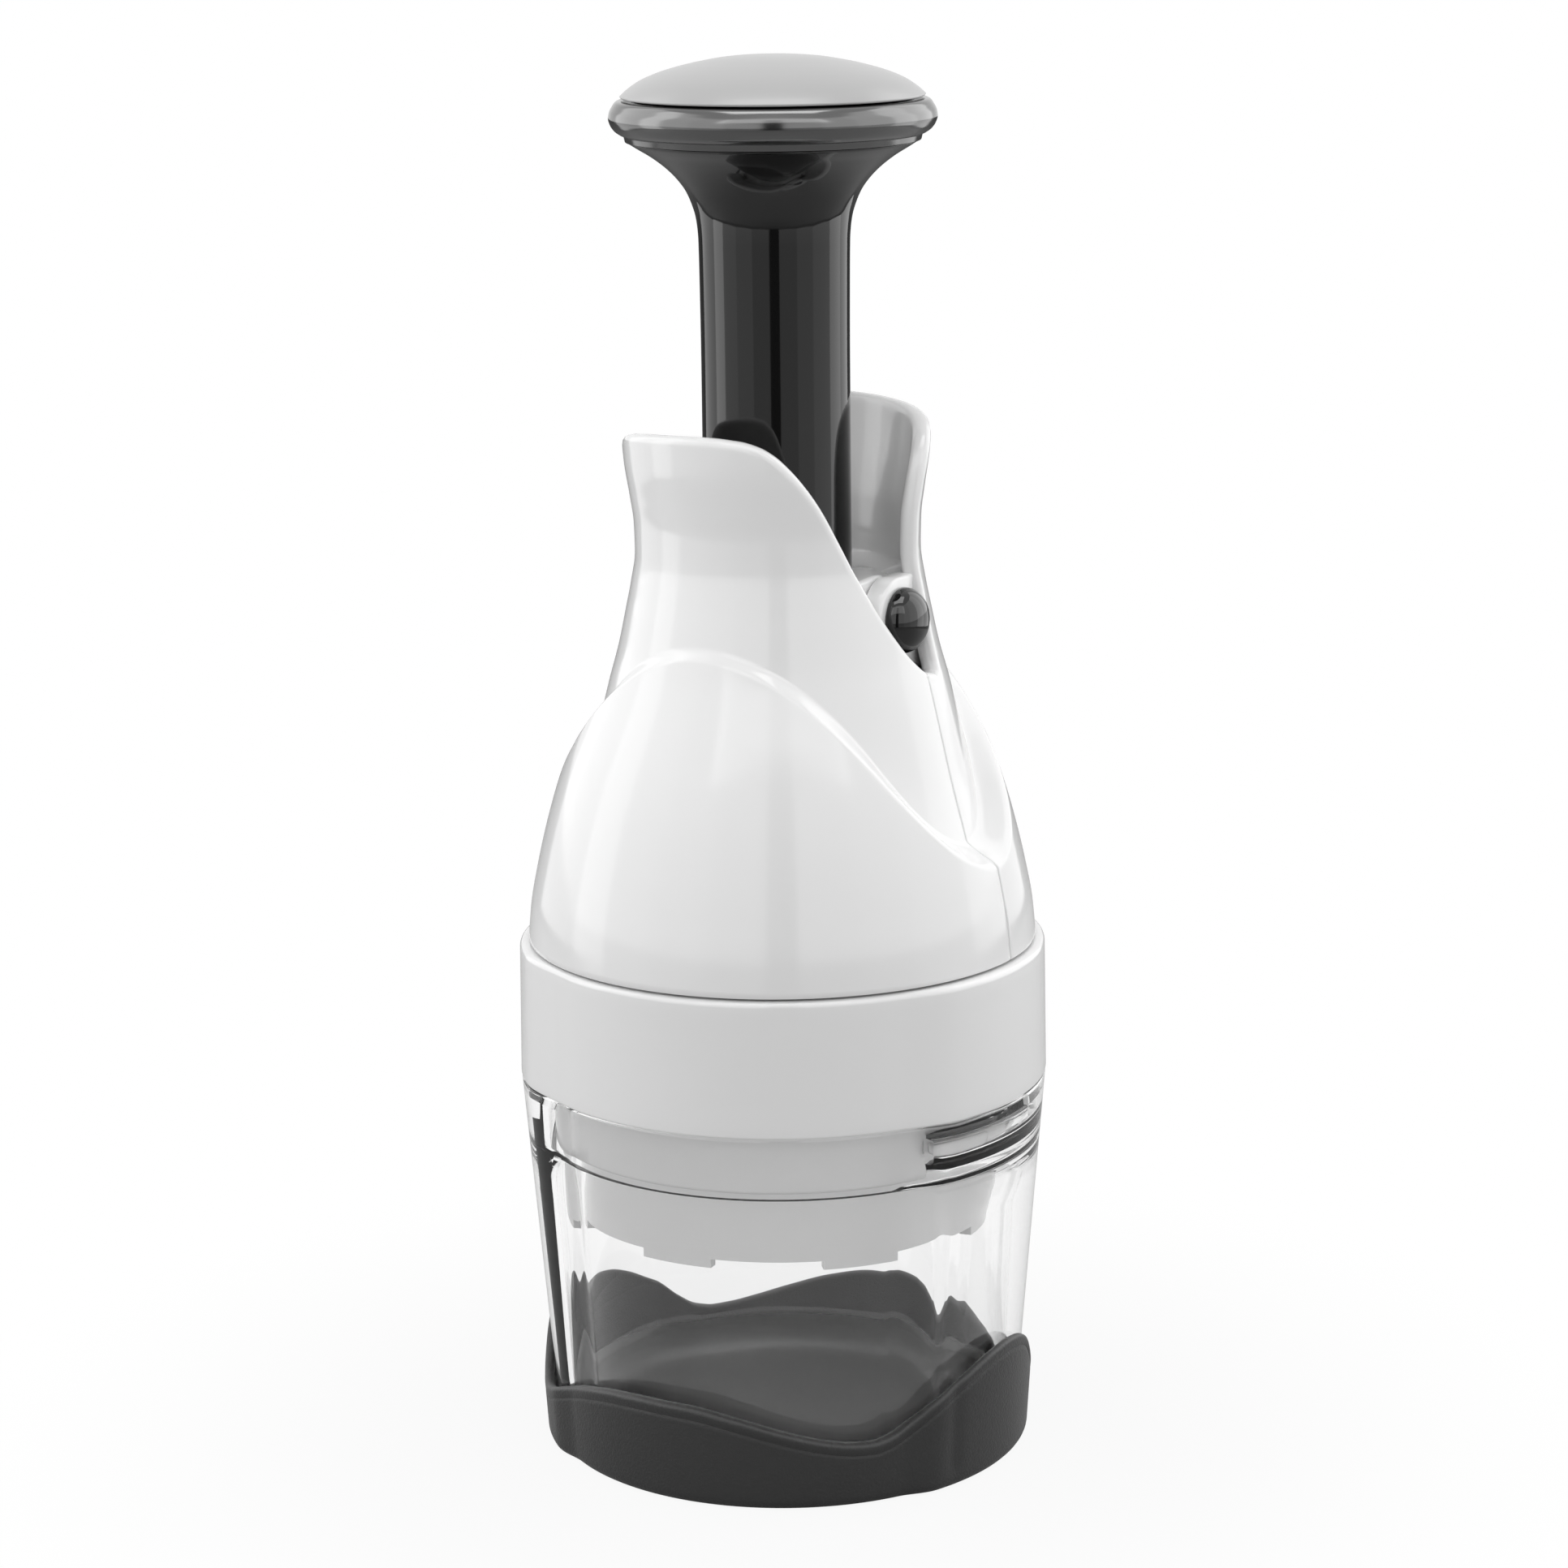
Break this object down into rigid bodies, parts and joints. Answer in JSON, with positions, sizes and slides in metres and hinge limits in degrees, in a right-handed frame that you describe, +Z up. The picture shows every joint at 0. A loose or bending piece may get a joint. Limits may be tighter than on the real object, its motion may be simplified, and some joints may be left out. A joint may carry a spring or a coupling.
{
  "type": "plunger food chopper",
  "caption": "Hand food chopper: a push knob drives zigzag blades down into a clear jar that stands in a rubber base; two housing shells swing open.",
  "frame": {"origin": "centre of the underside of the rubber base", "axes": "+Z up along the plunger, +X through the hinge cap beside the front shell's sloping edge, -Y the front shell"},
  "size_m": [0.094, 0.0914, 0.2472],
  "materials": {
    "white_plastic": "gloss",
    "black_plastic": "gloss",
    "dark_grey_plastic": "satin",
    "grey_plastic": "gloss",
    "clear_plastic": "clear",
    "rubber": "matte",
    "steel": "brushed"
  },
  "bodies": {
    "base": {"rubber_base": "rubber"},
    "jar": {"container": "clear_plastic"},
    "head": {"collar_ring": "white_plastic", "guide_skirt": "white_plastic", "guide_frame": "white_plastic", "rod_bush": "steel", "follower_pin": "steel", "pivot_tower": "white_plastic", "frame_screws": "steel", "neck_disc": "white_plastic", "disc_screws": "steel", "hinge_pins": "steel", "pin_caps": "black_plastic", "return_spring": "steel"},
    "stripper": {"stripper_cup": "white_plastic"},
    "front_wing": {"front_shell": "white_plastic"},
    "back_wing": {"back_shell": "white_plastic"},
    "plunger": {"stem": "black_plastic", "rod_bearing": "black_plastic", "knob_rim": "dark_grey_plastic", "knob_screws": "steel", "knob_cap": "grey_plastic"},
    "blades": {"drive_rod": "steel", "rod_clips": "steel", "blade_carrier": "white_plastic", "carrier_nut": "steel", "inner_blades": "steel", "outer_blades": "steel"}
  },
  "joints": [
    {"name": "jar_lift", "type": "slide", "parent": "base", "child": "jar", "axis": [0, 0, 1], "range_m": [0, 0.03]},
    {"name": "collar_twist", "type": "hinge", "parent": "jar", "child": "head", "pos_m": [0, 0, 0.07], "axis": [0, 0, 1], "range_deg": [0, 34]},
    {"name": "plunger_press", "type": "slide", "parent": "head", "child": "plunger", "axis": [0, 0, -1], "range_m": [0, 0.037], "stiffness_N_per_m": 200, "springref_m": -0.02, "deforming": ["return_spring"]},
    {"name": "front_open", "type": "hinge", "parent": "head", "child": "front_wing", "pos_m": [0, 0, 0.1512], "axis": [-1, 0, 0], "range_deg": [0, 10]},
    {"name": "back_open", "type": "hinge", "parent": "head", "child": "back_wing", "pos_m": [0, 0, 0.1512], "axis": [1, 0, 0], "range_deg": [0, 10]},
    {"name": "stripper_turn", "type": "hinge", "parent": "head", "child": "stripper", "pos_m": [0, 0, 0.05], "axis": [0, 0, 1], "range_deg": [0, 30]},
    {"name": "blade_turn", "type": "hinge", "parent": "plunger", "child": "blades", "pos_m": [0, 0, 0.09], "axis": [0, 0, 1], "range_deg": [0, 30]}
  ],
  "couplings": [
    {"joint": "stripper_turn", "follows": "plunger_press", "rad_per_m": 14.15},
    {"joint": "blade_turn", "follows": "plunger_press", "rad_per_m": 14.15}
  ]
}
